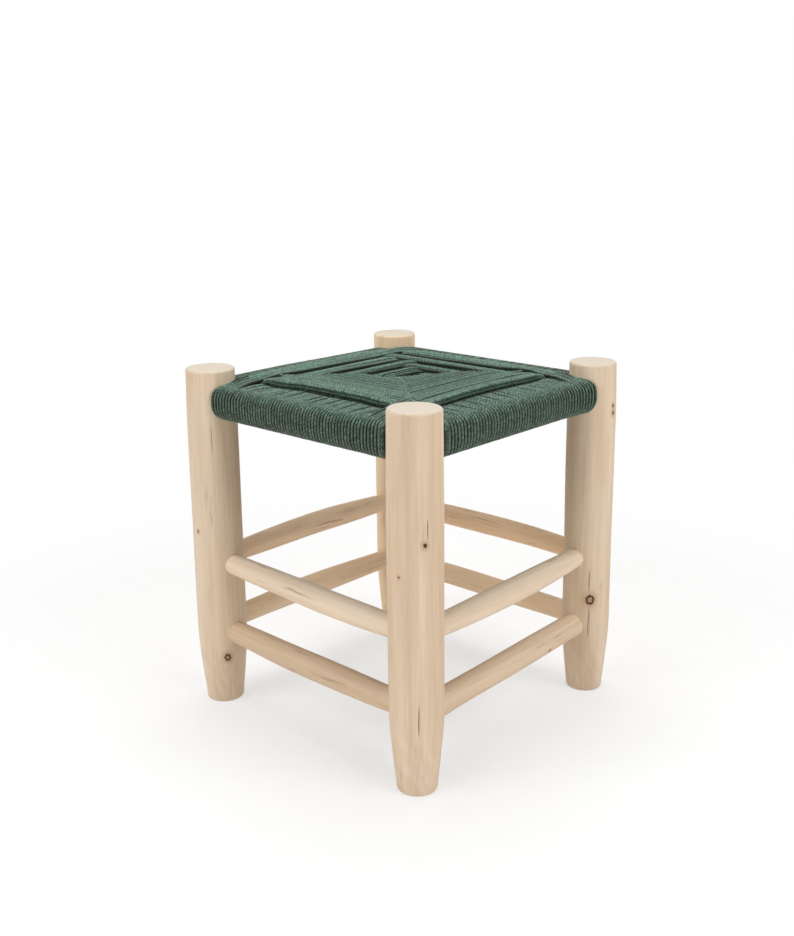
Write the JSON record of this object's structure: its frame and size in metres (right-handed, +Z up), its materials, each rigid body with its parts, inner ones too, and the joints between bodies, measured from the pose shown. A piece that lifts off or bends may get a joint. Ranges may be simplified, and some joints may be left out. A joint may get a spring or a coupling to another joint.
{
  "type": "stool",
  "caption": "Low square four-legged stool of peeled round wood, with paired round stretchers and a seat of wound cord woven in concentric squares.",
  "frame": {"origin": "on the floor under the middle of the seat", "axes": "+Z up along the legs, +X and +Y along the two pairs of seat rails, the front leg at low X and low Y"},
  "size_m": [0.3173, 0.3182, 0.35],
  "materials": {
    "leg_wood": "matt, peeled and sanded",
    "stretcher_wood": "matt, peeled and sanded",
    "rail_wood": "matt, peeled",
    "cord": "matt twisted cord"
  },
  "bodies": {
    "root": {"leg_front": "leg_wood", "leg_left": "leg_wood", "leg_right": "leg_wood", "leg_back": "leg_wood", "seat_rail_front_left": "rail_wood", "seat_rail_front_right": "rail_wood", "seat_rail_back_left": "rail_wood", "seat_rail_back_right": "rail_wood", "stretcher_front_left_upper": "stretcher_wood", "stretcher_front_left_lower": "stretcher_wood", "stretcher_front_right_upper": "stretcher_wood", "stretcher_front_right_lower": "stretcher_wood", "stretcher_back_left_upper": "stretcher_wood", "stretcher_back_left_lower": "stretcher_wood", "stretcher_back_right_upper": "stretcher_wood", "stretcher_back_right_lower": "stretcher_wood", "cord_band_front_left_1": "cord", "cord_band_front_left_2": "cord", "cord_band_front_left_3": "cord", "cord_band_front_left_4": "cord", "cord_band_front_right_1": "cord", "cord_band_front_right_2": "cord", "cord_band_front_right_3": "cord", "cord_band_front_right_4": "cord", "cord_band_back_left_1": "cord", "cord_band_back_left_2": "cord", "cord_band_back_left_3": "cord", "cord_band_back_left_4": "cord", "cord_band_back_right_1": "cord", "cord_band_back_right_2": "cord", "cord_band_back_right_3": "cord", "cord_band_back_right_4": "cord"}
  },
  "joints": []
}
